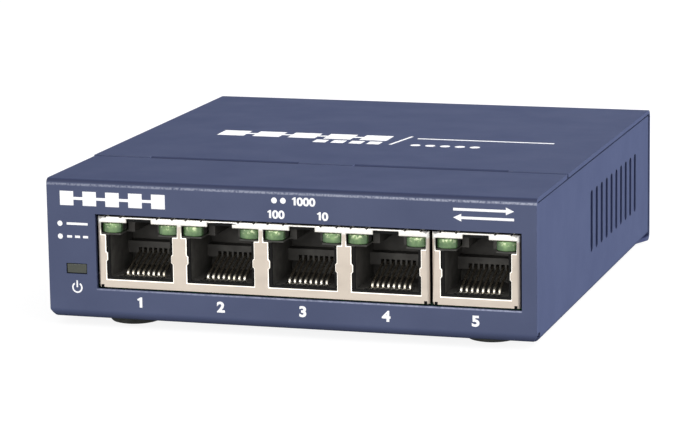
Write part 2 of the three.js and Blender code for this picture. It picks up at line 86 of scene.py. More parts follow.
def new_look(name):
    look = bpy.data.materials.new(name)
    look.use_nodes = True
    return look


def insides(look):
    """A material's node tree and the shader in it."""
    return look.node_tree, look.node_tree.nodes["Principled BSDF"]


def all_over(look, **values):
    """Sets what is the same all over a finish: Metallic=1 sets the socket of that name."""
    for key, value in values.items():
        insides(look)[1].inputs[key.replace("_", " ")].default_value = value
    return look


def white_sweep():
    return all_over(
        new_look("white_sweep"), Base_Color=(0.22, 0.22, 0.22, 1), Roughness=0.9,
        Specular_IOR_Level=0, Emission_Color=(1, 1, 1, 1), Emission_Strength=0.87)


def add_node(tree, kind, settings=None, **sockets):
    """A node with its settings, and with each socket set to a value or wired to another.
    A socket goes by its name, or by its number as _0."""
    made = tree.nodes.new(kind)
    for key, value in (settings or {}).items():
        setattr(made, key, value)
    for key, value in sockets.items():
        number = key[1:]
        socket = made.inputs[int(number) if number.isdigit() else key.replace("_", " ")]
        if isinstance(value, bpy.types.NodeSocket):
            tree.links.new(value, socket)
        else:
            socket.default_value = value
    return made


def along_axes(tree, what):
    """The X, Y and Z of a point: its place ("Object"), the way it faces ("Normal"), or its
    share of the piece, which in a sky is a direction ("Generated")."""
    source = add_node(tree, "ShaderNodeTexCoord").outputs[what]
    return add_node(tree, "ShaderNodeSeparateXYZ", _0=source).outputs


def between(tree, value, low, high, out_low=0.0, out_high=1.0, ease="LINEAR"):
    """A value's range from low to high, stretched to another range and held at its ends."""
    made = add_node(
        tree, "ShaderNodeMapRange", {"interpolation_type": ease},
        _0=value, _1=low, _2=high, _3=out_low, _4=out_high)
    return made.outputs[0]


def sums(tree, operation, first, second=0.0):
    """One step of arithmetic."""
    made = add_node(tree, "ShaderNodeMath", {"operation": operation}, _0=first, _1=second)
    return made.outputs[0]


def product(tree, *factors):
    result = factors[0]
    for factor in factors[1:]:
        result = sums(tree, "MULTIPLY", result, factor)
    return result


def soft_box(name, place, aim, width, height, power):
    light = bpy.data.lights.new(name, "AREA")
    light.shape = "RECTANGLE"
    light.size = width
    light.size_y = height
    light.energy = power
    lamp = bpy.data.objects.new(name, light)
    lamp.location = place
    lamp.rotation_euler = (Vector(aim) - Vector(place)).to_track_quat("-Z", "Y").to_euler()
    bpy.context.scene.collection.objects.link(lamp)
    return lamp


floor_shape = bmesh.new()
bmesh.ops.create_grid(floor_shape, x_segments=8, y_segments=8, size=FLOOR_REACH)
floor_mesh = bpy.data.meshes.new("floor")
floor_shape.to_mesh(floor_mesh)
floor_shape.free()
floor_mesh.materials.append(white_sweep())
floor = bpy.data.objects.new("floor", floor_mesh)
floor.visible_diffuse = False
floor.visible_glossy = False
bpy.context.scene.collection.objects.link(floor)

sky = bpy.data.worlds.new("studio")
sky.use_nodes = True
bpy.context.scene.world = sky
sky_tree = sky.node_tree
towards = along_axes(sky_tree, "Generated")
above_floor = between(sky_tree, towards["Z"], -0.5, 0.15, 0.3, 0.95, "SMOOTHSTEP")
in_front = between(sky_tree, towards["Y"], -0.6, 0.7, 1.15, 0.1, "SMOOTHSTEP")
background = sky_tree.nodes["Background"].inputs
sky_tree.links.new(product(sky_tree, above_floor, in_front), background["Strength"])
background["Color"].default_value = (1, 1, 1, 1)

soft_box(
    "front_box", place=(-0.35, -1.1, 0.16), aim=(0, 0, 0.01), width=0.6, height=0.26, power=2.65)
soft_box(
    "over_box", place=(0.36, 0.2, 0.4), aim=(0, 0, 0.02), width=0.4, height=0.4, power=1.7)
soft_box(
    "right_box", place=(1.3, 0.14, 0.25), aim=(0, 0.01, 0.01), width=0.7, height=0.5, power=14.6)
rear_box = soft_box(
    "rear_box", place=(0.1, 1.3, 0.5), aim=(0, 0, 0.01), width=1.2, height=0.5, power=6)
rear_box.visible_glossy = False

# ----------------------------------------------
# Tray: one blank of 0.8 mm steel sheet, punched and folded into the floor, both side
# walls, the front and the strip over the jacks, then powder coated blue grey.
MM = 0.001
SHEET = 0.8
SHEET_EDGE = 0.12
FOLD_RADIUS = 1
WINDOW_GAP = 0.38


def box_of(node):
    """The low and high corners of a solid in the frame, in millimetres."""
    low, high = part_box(node)
    return low / MM, high / MM


tray_low, tray_high = box_of("base_tray")
tray_front = tray_low.y
tray_top = tray_high.z
window_left = box_of("jack_block_shield")[0].x - WINDOW_GAP
window_right = box_of("jack_single_shield")[1].x + WINDOW_GAP
window_middle = (window_left + window_right) / 2
window_half = (window_right - window_left) / 2
window_sill = box_of("jack_block_shield")[0].z - WINDOW_GAP


def tone(red, green, blue):
    """A colour given in screen values from 0 to 255, as linear light."""
    def linear(value):
        part = value / 255
        return part / 12.92 if part <= 0.04045 else ((part + 0.055) / 1.055) ** 2.4
    return (linear(red), linear(green), linear(blue), 1)


# Body and deep drift at random; the other paint colours are painted shade (folds, vents) and painted
# highlights (fold foot, sill).
PAINT_BODY = tone(76, 85, 117)
PAINT_DEEP = tone(70, 79, 111)
PAINT_SHADE_ON_FOLDS = tone(47, 54, 84)
PAINT_HIGHLIGHT_ON_FOLD_FOOT = tone(168, 173, 192)
PAINT_HIGHLIGHT_ON_SILL = tone(165, 171, 198)
PAINT_SHADE_IN_VENTS = tone(52, 60, 98)


def own_solid(node):
    """A bmesh of a node's solid with its shared corners joined and its flat faces whole."""
    shape = bmesh.new()
    shape.from_mesh(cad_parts[node].data)
    bmesh.ops.remove_doubles(shape, verts=shape.verts, dist=0.002 * MM)
    bmesh.ops.dissolve_limit(
        shape, angle_limit=radians(0.5), verts=shape.verts, edges=shape.edges)
    bmesh.ops.connect_verts_concave(shape, faces=shape.faces)
    return shape


def finished_piece(name, shape, look, edge=0, smooth=35, segments=2):
    """The piece made from a bmesh: its edges broken by a small round, then shaded smooth
    wherever they turn by less than smooth degrees."""
    bmesh.ops.recalc_face_normals(shape, faces=shape.faces)
    mesh = bpy.data.meshes.new(name)
    shape.to_mesh(mesh)
    shape.free()
    mesh.materials.append(look)
    mesh.shade_smooth()
    mesh.set_sharp_from_angle(angle=radians(smooth))
    piece = bpy.data.objects.new(name, mesh)
    bpy.context.scene.collection.objects.link(piece)
    if edge:
        round_off = piece.modifiers.new("broken_edges", "BEVEL")
        round_off.width = edge * MM
        round_off.segments = segments
        round_off.limit_method = "ANGLE"
        round_off.angle_limit = radians(smooth)
    flatten = piece.modifiers.new("flat_faces_stay_flat", "WEIGHTED_NORMAL")
    flatten.keep_sharp = True
    return piece


def wire_up(tree, source, shader, socket):
    tree.links.new(source, shader.inputs[socket])


def mixed(tree, factor, first, second):
    """Two colours, mixed by a factor from 0 to 1."""
    made = add_node(
        tree, "ShaderNodeMix", {"data_type": "RGBA"}, _0=factor, _6=first, _7=second)
    return made.outputs[2]


def noise(tree, size, detail=2.0, stretch=(1, 1, 1)):
    """Noise with patches about as big as size, in millimetres, on the piece itself."""
    place = add_node(tree, "ShaderNodeTexCoord").outputs["Object"]
    scaled = add_node(tree, "ShaderNodeMapping", _0=place, _3=stretch).outputs[0]
    made = add_node(
        tree, "ShaderNodeTexNoise", Vector=scaled, Scale=1 / (size * MM), Detail=detail)
    return made.outputs[0]


def grain(tree, shader, size, depth, stretch=(1, 1, 1)):
    """A fine relief all over: grain of one size, depth in millimetres."""
    height = noise(tree, size, 3.0, stretch)
    bumps = add_node(
        tree, "ShaderNodeBump", Strength=1.0, Distance=depth * MM, Height=height)
    wire_up(tree, bumps.outputs[0], shader, "Normal")


def coat(name, body, deep, patch, gloss, grain_size, grain_depth):
    """A finish whose colour drifts from body to deep in patches, and its roughness between
    the two values of gloss."""
    look = new_look(name)
    tree, shader = insides(look)
    drift = noise(tree, patch, 4.0)
    wire_up(tree, mixed(tree, between(tree, drift, 0.35, 0.65), body, deep), shader, "Base Color")
    wire_up(tree, between(tree, drift, 0.3, 0.7, gloss[0], gloss[1]), shader, "Roughness")
    grain(tree, shader, grain_size, grain_depth)
    return look


def colour_so_far(shader):
    return shader.inputs["Base Color"].links[0].from_socket


def off_level(tree, value, level):
    """How far a value is from a level, on either side of it."""
    return sums(tree, "ABSOLUTE", sums(tree, "SUBTRACT", value, level))


def by_level(tree, value, level, full, none):
    """1 at full millimetres from a level, on either side of it, and 0 at none."""
    return between(tree, off_level(tree, value, level * MM), none * MM, full * MM)


def folds_of(tree):
    """1 where painted shade darkens a rounded fold, and a quarter of that where the fold faces down.
    """
    facing = along_axes(tree, "Normal")
    parts = [sums(tree, "ABSOLUTE", facing[axis]) for axis in "XYZ"]
    flatness = sums(tree, "MAXIMUM", sums(tree, "MAXIMUM", parts[0], parts[1]), parts[2])
    on_fold = between(tree, flatness, 0.985, 0.86)
    return product(tree, on_fold, between(tree, facing["Z"], -0.3, 0, 0.25, 1))


def powder_coat():
    """Blue-grey powder coat, with painted shade over the folds and in the vents' cut walls,
    and a painted highlight along the foot of the front fold and the sill of the jack window."""
    look = coat(
        "powder_coat", PAINT_BODY, PAINT_DEEP,
        patch=14, gloss=(0.4, 0.5), grain_size=0.5, grain_depth=0.012)
    tree, shader = insides(look)
    place = along_axes(tree, "Object")
    in_front = between(tree, place["Y"], (tray_front + 0.3) * MM, (tray_front + 0.1) * MM)
    more_to_right = between(tree, place["X"], tray_low.x * MM, tray_high.x * MM, 0.5, 1)
    # A speckled painted highlight along the foot of the front fold, stronger towards the right.
    fold_foot_highlight = product(
        tree, in_front, more_to_right, between(tree, noise(tree, 0.45, 3.0), 0.3, 0.58),
        by_level(tree, place["Z"], tray_top - FOLD_RADIUS, 0.12, 0.28))
    # A painted highlight along the sill of the jack window.
    sill_highlight = product(
        tree, in_front, more_to_right, between(tree, noise(tree, 0.7, 3.0), 0.3, 0.6, 0.4, 1),
        by_level(tree, place["Z"], window_sill - 0.1, 0.12, 0.22),
        by_level(tree, place["X"], window_middle, window_half - 0.1, window_half + 0.1))
    # Painted shade on the cut walls of the vents in the side wall.
    outer = tray_high.x
    inner = outer - SHEET
    vent_shade = product(
        tree, by_level(tree, place["X"], 0, outer - 0.2, outer - 0.1),
        by_level(tree, place["X"], 0, inner, inner - 0.2),
        between(tree, place["Z"], (tray_top - 2.5) * MM, (tray_top - 3) * MM),
        between(tree, place["Y"], (tray_front + 5) * MM, (tray_front + 6) * MM))
    # Painted shade over the folds.
    shown = mixed(tree, folds_of(tree), colour_so_far(shader), PAINT_SHADE_ON_FOLDS)
    shown = mixed(tree, vent_shade, shown, PAINT_SHADE_IN_VENTS)
    shown = mixed(tree, fold_foot_highlight, shown, PAINT_HIGHLIGHT_ON_FOLD_FOOT)
    wire_up(tree, mixed(tree, sill_highlight, shown, PAINT_HIGHLIGHT_ON_SILL), shader, "Base Color")
    return all_over(look, Specular_IOR_Level=0.35)


paint = powder_coat()
tray = finished_piece("folded_tray", own_solid("base_tray"), paint, SHEET_EDGE)
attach(tray, "switch_body")
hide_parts("base_tray")

# ----------------------------------------------
# Standoffs and board screws: hexagonal zinc-plated spacers pressed into the floor, each
# with a pan-head cross-recess screw that holds the circuit board down.
SHANK_RADIUS = 1.1
PAN_RADIUS = 2.6
PAN_HEIGHT = 1.5


def zinc_plate():
    look = coat(
        "zinc_plate", tone(196, 198, 200), tone(172, 175, 180),
        patch=2, gloss=(0.28, 0.42), grain_size=0.15, grain_depth=0.004)
    return all_over(look, Metallic=1)


def about(middle, half):
    """The two ends of a span, from its middle."""
    return middle - half, middle + half


def add_block(shape, x, y, z, edge=0.0):
    """A block between two values on each axis, in millimetres, with its edges broken."""
    corners = [Vector((a, b, c)) * MM for a in x for b in y for c in z]
    verts = [shape.verts.new(corner) for corner in corners]
    sides = ((0, 1, 3, 2), (4, 6, 7, 5), (0, 4, 5, 1), (2, 3, 7, 6), (0, 2, 6, 4), (1, 5, 7, 3))
    faces = [shape.faces.new([verts[i] for i in side]) for side in sides]
    if edge:
        edges = list({e for face in faces for e in face.edges})
        bmesh.ops.bevel(
            shape, geom=edges, offset=edge * MM, segments=2, profile=0.5, affect="EDGES")


def add_turned(shape, profile, sides, centre, axis="Z"):
    """A turned solid about an upright axis, or one along Y, from its (radius, height) profile."""
    rings = []
    for radius, height in profile:
        ring = []
        for step in range(sides if radius else 1):
            angle = tau * step / sides
            spot = Vector((radius * cos(angle), radius * sin(angle), height))
            if axis == "Y":
                spot = Vector((spot.x, spot.z, spot.y))
            ring.append(shape.verts.new((spot + Vector(centre)) * MM))
        rings.append(ring)
    for lower, upper in zip(rings, rings[1:]):
        for step in range(sides):
            after = (step + 1) % sides
            corners = [lower[step % len(lower)], lower[after % len(lower)],
                       upper[after % len(upper)], upper[step % len(upper)]]
            shape.faces.new(list(dict.fromkeys(corners)))


def take_out(piece, cutter_shape):
    """Cuts a closed bmesh out of a piece for good."""
    mesh = bpy.data.meshes.new("cutter")
    cutter_shape.to_mesh(mesh)
    cutter_shape.free()
    cutter = bpy.data.objects.new("cutter", mesh)
    bpy.context.scene.collection.objects.link(cutter)
    cut = piece.modifiers.new("cut", "BOOLEAN")
    cut.object = cutter
    cut.solver = "EXACT"
    bpy.context.view_layer.update()
    shown = piece.evaluated_get(bpy.context.evaluated_depsgraph_get())
    result = bpy.data.meshes.new_from_object(shown)
    piece.modifiers.clear()
    piece.data = result
    bpy.data.objects.remove(cutter)


def middle_of(node):
    low, high = box_of(node)
    return (low + high) / 2


def cross_recess(centre, reach, width, depth, up=1):
    """Two crossed bars that cut a cross into a flat top. up is -1 for one that faces down."""
    level = sorted((centre[2] - up * depth, centre[2] + up))
    arms = []
    for half_x, half_y in ((reach, width), (width, reach)):
        arm = bmesh.new()
        add_block(arm, about(centre[0], half_x), about(centre[1], half_y), level)
        arms.append(arm)
    return arms


zinc = zinc_plate()
for number in range(1, 5):
    spacer = finished_piece(
        f"hex_standoff_{number}", own_solid(f"standoff_{number}"), zinc, edge=0.1)
    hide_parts(f"standoff_{number}")
    low, high = box_of(f"board_screw_{number}")
    centre = middle_of(f"board_screw_{number}")
    seat = high.z - PAN_HEIGHT
    head = bmesh.new()
    add_turned(head, [
        (0, low.z), (SHANK_RADIUS - 0.3, low.z), (SHANK_RADIUS, low.z + 0.4),
        (SHANK_RADIUS, seat), (PAN_RADIUS - 0.1, seat), (PAN_RADIUS, seat + 0.1),
        (PAN_RADIUS, seat + 0.75), (2.42, seat + 1.1), (2, seat + 1.35), (1.3, seat + 1.48),
        (0, high.z),
    ], 32, (centre.x, centre.y, 0))
    screw = finished_piece(f"pan_screw_{number}", head, zinc)
    for arm in cross_recess((centre.x, centre.y, high.z), reach=1.35, width=0.28, depth=0.8):
        take_out(screw, arm)
    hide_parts(f"board_screw_{number}")
    for piece in (spacer, screw):
        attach(piece, "switch_body")

# ----------------------------------------------
# Circuit board: 1.6 mm glass laminate under green lacquer, with copper tracks that show
# through it and tinned rings round the four screw holes. It lies on the standoffs.
TRACK_SPACING = 2.6
RING_INNER = 1.65
RING_OUTER = 3.1
RING_RISE = 0.04


def lacquered_board():
    """Green lacquer over a web of tracks, thicker and darker between them."""
    look = new_look("lacquered_board")
    tree, shader = insides(look)
    place = add_node(tree, "ShaderNodeTexCoord").outputs["Object"]
    cells = add_node(
        tree, "ShaderNodeTexVoronoi", {"feature": "DISTANCE_TO_EDGE", "distance": "CHEBYCHEV"},
        Vector=place, Scale=1 / (TRACK_SPACING * MM), Randomness=0.7)
    on_track = between(tree, cells.outputs[0], 0.09, 0.05)
    ground = mixed(tree, noise(tree, 9, 3.0), tone(22, 92, 60), tone(14, 70, 46))
    wire_up(tree, mixed(tree, on_track, ground, tone(44, 124, 78)), shader, "Base Color")
    wire_up(tree, between(tree, on_track, 0, 1, 0.42, 0.3), shader, "Roughness")
    relief = add_node(tree, "ShaderNodeBump", Strength=0.6, Distance=0.03 * MM, Height=on_track)
    wire_up(tree, relief.outputs[0], shader, "Normal")
    return all_over(look, Coat_Weight=0.4)


def solder():
    look = coat(
        "solder", tone(205, 206, 208), tone(176, 178, 182),
        patch=0.8, gloss=(0.25, 0.45), grain_size=0.1, grain_depth=0.003)
    return all_over(look, Metallic=1)


board_top = box_of("circuit_board")[1].z
board = finished_piece(
    "etched_board", own_solid("circuit_board"), lacquered_board(), edge=0.05)
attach(board, "switch_body")
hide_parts("circuit_board")

tin = solder()
rings = bmesh.new()
for number in range(1, 5):
    centre = middle_of(f"board_screw_{number}")
    add_turned(rings, [
        (RING_INNER, board_top), (RING_OUTER, board_top), (RING_OUTER - 0.05, board_top + RING_RISE),
        (RING_INNER + 0.05, board_top + RING_RISE), (RING_INNER, board_top),
    ], 32, (centre.x, centre.y, 0))
bmesh.ops.remove_doubles(rings, verts=rings.verts, dist=0.001 * MM)
screw_rings = finished_piece("tinned_screw_rings", rings, tin)
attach(screw_rings, "switch_body")

# ----------------------------------------------
# Chips: moulded epoxy packages with bent tinned leads down to the board. The largest
# does the switching and carries an extruded aluminium heat sink.
CHIP_LIFT = 0.12
CHIP_EDGE = 0.12
LEAD_SHEET = 0.16
LEAD_REACH = 1
DIMPLE_RADIUS = 0.35
DIMPLE_DEPTH = 0.06
DIMPLE_INSET = 1.1
ALL_ROUND = ((1, 0), (-1, 0), (0, 1), (0, -1))
LEFT_AND_RIGHT = ((1, 0), (-1, 0))


def moulded_black():
    return coat(
        "moulded_epoxy", tone(46, 46, 48), tone(36, 36, 38),
        patch=3, gloss=(0.5, 0.65), grain_size=0.12, grain_depth=0.008)


def join_outlines(shape, near, far):
    """The faces of a solid between two like outlines of vertices."""
    shape.faces.new(near)
    shape.faces.new(list(reversed(far)))
    for step in range(len(near)):
        after = (step + 1) % len(near)
        shape.faces.new([near[step], far[step], far[after], near[after]])


def add_lead(shape, foot, out, width, rise):
    """One bent lead: flat out of the body, down, and flat on the board. out is (x, y)."""
    outline = [
        (-0.2, rise), (0.35, rise), (0.6, LEAD_SHEET), (LEAD_REACH, LEAD_SHEET),
        (LEAD_REACH, 0), (0.5, 0), (0.25, rise - LEAD_SHEET), (-0.2, rise - LEAD_SHEET),
    ]
    forward = Vector((out[0], out[1], 0))
    sideways = Vector((-out[1], out[0], 0)) * width / 2
    near, far = (
        [shape.verts.new((Vector(foot) + forward * a + Vector((0, 0, b)) + side) * MM)
         for a, b in outline]
        for side in (-sideways, sideways))
    join_outlines(shape, near, far)


def chip_with_leads(name, node, sides, count, pitch, width):
    """A package over a chip's solid, with rows of leads out of the sides named."""
    low, high = box_of(node)
    body = bmesh.new()
    add_block(
        body, (low.x, high.x), (low.y, high.y), (board_top + CHIP_LIFT, high.z), CHIP_EDGE)
    package = finished_piece(name, body, epoxy)
    dimple = bmesh.new()
    floor_of_dimple = high.z - DIMPLE_DEPTH
    add_turned(dimple, [
        (0, floor_of_dimple), (DIMPLE_RADIUS, floor_of_dimple),
        (DIMPLE_RADIUS, high.z + 1), (0, high.z + 1),
    ], 20, (low.x + DIMPLE_INSET, high.y - DIMPLE_INSET, 0))
    take_out(package, dimple)
    leads = bmesh.new()
    centre = (low + high) / 2
    half = (high - low) / 2
    for out in sides:
        for step in range(count):
            along = (step - (count - 1) / 2) * pitch
            foot = (
                centre.x + out[0] * half.x + out[1] * along,
                centre.y + out[1] * half.y + out[0] * along,
                board_top + 0.02,
            )
            add_lead(leads, foot, out, width, (high.z - board_top) / 2)
    pins = finished_piece(name + "_leads", leads, tin)
    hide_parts(node)
    for piece in (package, pins):
        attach(piece, "switch_body")


epoxy = moulded_black()
chip_with_leads(
    "switching_package", "switch_chip", ALL_ROUND, count=25, pitch=0.5, width=0.22)
for name, node in (("memory_package", "memory_chip"), ("regulator_package", "regulator_chip")):
    chip_with_leads(
        name, node, LEFT_AND_RIGHT, count=4, pitch=0.95, width=0.4)


def brushed_aluminium():
    """Extruded aluminium with its grain drawn out along the fins."""
    look = coat(
        "extruded_aluminium", tone(190, 193, 198), tone(165, 169, 175),
        patch=4, gloss=(0.3, 0.45), grain_size=0.2, grain_depth=0.003)
    tree, shader = insides(look)
    grain(tree, shader, 0.12, 0.006, (1, 0.04, 1))
    return all_over(look, Metallic=1)


sink = finished_piece(
    "finned_heat_sink", own_solid("heat_sink"), brushed_aluminium(), edge=0.15, segments=3)
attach(sink, "switch_body")
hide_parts("heat_sink")

# ----------------------------------------------
# Clock crystal: a drawn can with round ends, resistance welded onto a base with a flange
# that stands out a little further at its ends and sides.
CAN_CORNER = 0.55
FLANGE_GROWTH = (1.06, 1.14)
FLANGE_FOOT = 0.05
FLANGE_TOP = 0.6

can_top = box_of("clock_crystal")[1].z
crystal = own_solid("clock_crystal")
top_edges = [
    edge for edge in crystal.edges
    if all(vert.co.z > (can_top - 0.01) * MM for vert in edge.verts)
    and len(edge.link_faces) == 2]
bmesh.ops.bevel(
    crystal, geom=top_edges, offset=CAN_CORNER * MM, segments=4, profile=0.5, affect="EDGES")
flange = own_solid("clock_crystal")
centre = middle_of("clock_crystal") * MM
for vert in flange.verts:
    vert.co.x = centre.x + (vert.co.x - centre.x) * FLANGE_GROWTH[0]
    vert.co.y = centre.y + (vert.co.y - centre.y) * FLANGE_GROWTH[1]
    vert.co.z = (board_top + (FLANGE_FOOT if vert.co.z < centre.z else FLANGE_TOP)) * MM
flange_mesh = bpy.data.meshes.new("flange")
flange.to_mesh(flange_mesh)
flange.free()
crystal.from_mesh(flange_mesh)
can = finished_piece("crystal_can", crystal, tin, edge=0.06, smooth=40)
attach(can, "switch_body")
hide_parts("clock_crystal")

# ----------------------------------------------
# Power parts: a ferrite inductor with its drum in a round well, and two electrolytic
# capacitors whose aluminium cans are crimped over a black base.
WELL_RADIUS = 3.1
DRUM_RADIUS = 2.8
DRUM_NECK = 2.2
CAN_RADIUS = 3.15
CRIMP_RADIUS = 2.9
CAN_DISH = 0.14
BASE_HALF = 3.3


def ferrite():
    return coat(
        "ferrite", tone(74, 75, 78), tone(58, 59, 62),
        patch=1.2, gloss=(0.55, 0.75), grain_size=0.15, grain_depth=0.01)


low, high = box_of("power_inductor")
centre = middle_of("power_inductor")
spot = (centre.x, centre.y, 0)
core = ferrite()
shape = bmesh.new()
add_block(shape, (low.x, high.x), (low.y, high.y), (board_top + 0.1, high.z - 0.15), 0.5)
coil = finished_piece("wound_inductor", shape, core)
well = bmesh.new()
add_turned(well, [
    (0, high.z - 1), (WELL_RADIUS, high.z - 1), (WELL_RADIUS, high.z + 1), (0, high.z + 1),
], 40, spot)
take_out(coil, well)
drum = bmesh.new()
add_turned(drum, [
    (0, high.z - 1.1), (DRUM_NECK, high.z - 1.1), (DRUM_NECK, high.z - 0.5),
    (DRUM_RADIUS, high.z - 0.45), (DRUM_RADIUS, high.z - 0.1), (DRUM_RADIUS - 0.1, high.z),
    (0, high.z),
], 40, spot)
drum_core = finished_piece("inductor_drum", drum, core)
for piece in (coil, drum_core):
    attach(piece, "switch_body")
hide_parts("power_inductor")


def capacitor_can():
    look = coat(
        "capacitor_can", tone(205, 208, 212), tone(180, 184, 190),
        patch=3, gloss=(0.25, 0.38), grain_size=0.2, grain_depth=0.003)
    return all_over(look, Metallic=1)


can_look = capacitor_can()
for number in (1, 2):
    low, high = box_of(f"capacitor_{number}")
    across, along = (low.x + high.x) / 2, (low.y + high.y) / 2
    base = low.z + 0.9
    dish = high.z - CAN_DISH
    shape = bmesh.new()
    add_turned(shape, [
        (0, base), (CAN_RADIUS - 0.05, base), (CAN_RADIUS, base + 0.4), (CAN_RADIUS, base + 1),
        (CRIMP_RADIUS, base + 1.25), (CRIMP_RADIUS, base + 1.4), (CAN_RADIUS, base + 1.65),
        (CAN_RADIUS, high.z - 0.45), (3.02, high.z - 0.15), (2.75, high.z),
        (2.45, high.z - 0.04), (2.35, dish), (0, dish),
    ], 40, (across, along, 0))
    can = finished_piece(f"crimped_can_{number}", shape, can_look)
    for groove in cross_recess((across, along, dish), reach=1.7, width=0.09, depth=0.08):
        take_out(can, groove)
    foot_shape = bmesh.new()
    add_block(
        foot_shape, about(across, BASE_HALF), about(along, BASE_HALF), (board_top + 0.08, base),
        0.25)
    base_plate = finished_piece(f"capacitor_base_{number}", foot_shape, epoxy)
    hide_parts(f"capacitor_{number}")
    for piece in (can, base_plate):
        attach(piece, "switch_body")

# ----------------------------------------------
# Magnetics: one moulded transformer module behind each jack, with eight leads along its
# front and eight along its rear.
FRONT_AND_REAR = ((0, 1), (0, -1))

for port in range(1, 6):
    chip_with_leads(
        f"transformer_module_{port}", f"magnetics_module_{port}", FRONT_AND_REAR, count=8,
        pitch=1.27, width=0.45)

# ----------------------------------------------
# Board light: a small clear lamp at the board's front edge, moulded as a flat base with
# a narrower block on it.
LAMP_INSET = 0.35


def clear_resin():
    look = coat(
        "clear_resin", tone(232, 228, 204), tone(214, 210, 186),
        patch=0.6, gloss=(0.12, 0.25), grain_size=0.2, grain_depth=0.002)
    return all_over(
        look, Subsurface_Weight=0.3, Subsurface_Radius=(MM, MM, 0.8 * MM))


low, high = box_of("power_light")
shape = bmesh.new()
add_block(shape, (low.x, high.x), (low.y, high.y), (board_top + 0.02, low.z + 0.35), 0.06)
add_block(
    shape, (low.x + LAMP_INSET, high.x - LAMP_INSET), (low.y + 0.05, high.y - 0.05),
    (low.z + 0.3, high.z), 0.18)
light = finished_piece("board_light", shape, clear_resin())
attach(light, "switch_body")
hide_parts("power_light")

# ----------------------------------------------
# Jack housings: glass-filled black nylon blocks, one with four cavities and one with a
# single one. Ribs at the front of each cavity floor keep the eight wires apart.
PORTS_IN = {"block": (1, 2, 3, 4), "single": (5,)}
FLOOR_ABOVE_SHIELD = 1.9
LEDGE_ABOVE_SHIELD = 10.05
WIRE_PITCH = 1.02
RIB_HALF = 0.22
RIB_DEPTH = 1.5
RIB_RISE = 0.25


def black_nylon(name, front=None, ledge=None):
    """Black nylon. A jack's front, hidden behind its shield, gets painted shade, but for the
    ledge under each lens, whose edge gets a grey painted highlight."""
    look = coat(
        name, tone(90, 88, 84), tone(76, 74, 71),
        patch=2.5, gloss=(0.5, 0.66), grain_size=0.1, grain_depth=0.006)
    if front is not None:
        tree, shader = insides(look)
        place = along_axes(tree, "Object")
        # Painted shade over the jack's front, with a grey painted highlight along the ledge under
        # each lens.
        front_shade = between(tree, place["Y"], (front + 0.6) * MM, (front + 0.15) * MM)
        ledge_highlight = by_level(tree, place["Z"], ledge, 0.15, 0.25)
        face = mixed(tree, ledge_highlight, tone(9, 9, 9), tone(78, 78, 74))
        shown = mixed(tree, front_shade, colour_so_far(shader), face)
        wire_up(tree, shown, shader, "Base Color")
    return all_over(look, Specular_IOR_Level=0.2)


shield_base = box_of("jack_block_shield")[0].z
cavity_floor = shield_base + FLOOR_ABOVE_SHIELD
jack_nylon = black_nylon(
    "jack_nylon", front=box_of("jack_block_housing")[0].y, ledge=shield_base + LEDGE_ABOVE_SHIELD)
for group, ports in PORTS_IN.items():
    node = f"jack_{group}_housing"
    shape = own_solid(node)
    front = box_of(node)[0].y
    for port in ports:
        across = middle_of(f"contact_set_port_{port}").x
        for gap in range(9):
            add_block(
                shape, about(across + (gap - 4) * WIRE_PITCH, RIB_HALF),
                (front + 0.05, front + RIB_DEPTH), (cavity_floor - 0.1, cavity_floor + RIB_RISE),
                0.06)
    block = finished_piece(f"moulded_{group}", shape, jack_nylon, edge=0.07)
    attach(block, "switch_body")
    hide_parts(node)

# ----------------------------------------------
# Spring contacts: eight phosphor-bronze wires to a jack, gold plated at the bend, rooted
# in a bar under its floor. Each set swings back a little when a plug presses on it.
WIRE_BEND_ABOVE_SHIELD = 2.45


def gold_plate():
    """Gold over the bend that a plug presses, lightened to near white by a painted glint, and bare
    bronze up the slope behind it, darkened by painted shade.
    """
    look = coat(
        "gold_plate", tone(255, 250, 238), tone(240, 230, 208),
        patch=1.5, gloss=(0.2, 0.32), grain_size=0.12, grain_depth=0.002)
    tree, shader = insides(look)
    bend = (shield_base + WIRE_BEND_ABOVE_SHIELD) * MM
    # The bend is near white, partly gold and partly a painted glint; the slope is bare bronze and
    # also darkened by painted shade.
    up_slope = between(tree, along_axes(tree, "Object")["Z"], bend, bend + 0.45 * MM)
    bronze_and_shade = mixed(tree, noise(tree, 0.8, 3.0), tone(74, 68, 58), tone(138, 128, 112))
    wire_up(tree, mixed(tree, up_slope, colour_so_far(shader), bronze_and_shade), shader, "Base Color")
    return all_over(look, Metallic=0.7)


gold = gold_plate()
for port in range(1, 6):
    wires = finished_piece(
        f"contact_wires_{port}", own_solid(f"contact_set_port_{port}"), gold,
        edge=0.07, smooth=30, segments=3)
    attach(wires, f"contacts_{port}")
    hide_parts(f"contact_set_port_{port}")

# ----------------------------------------------
# Link lights: clear green lenses pushed into the pockets over each cavity. Their fronts
# are slightly round, and each has a painted glow where the lamp behind it sits.
LENS_CROWN = 0.8
LENS_STEPS = 12


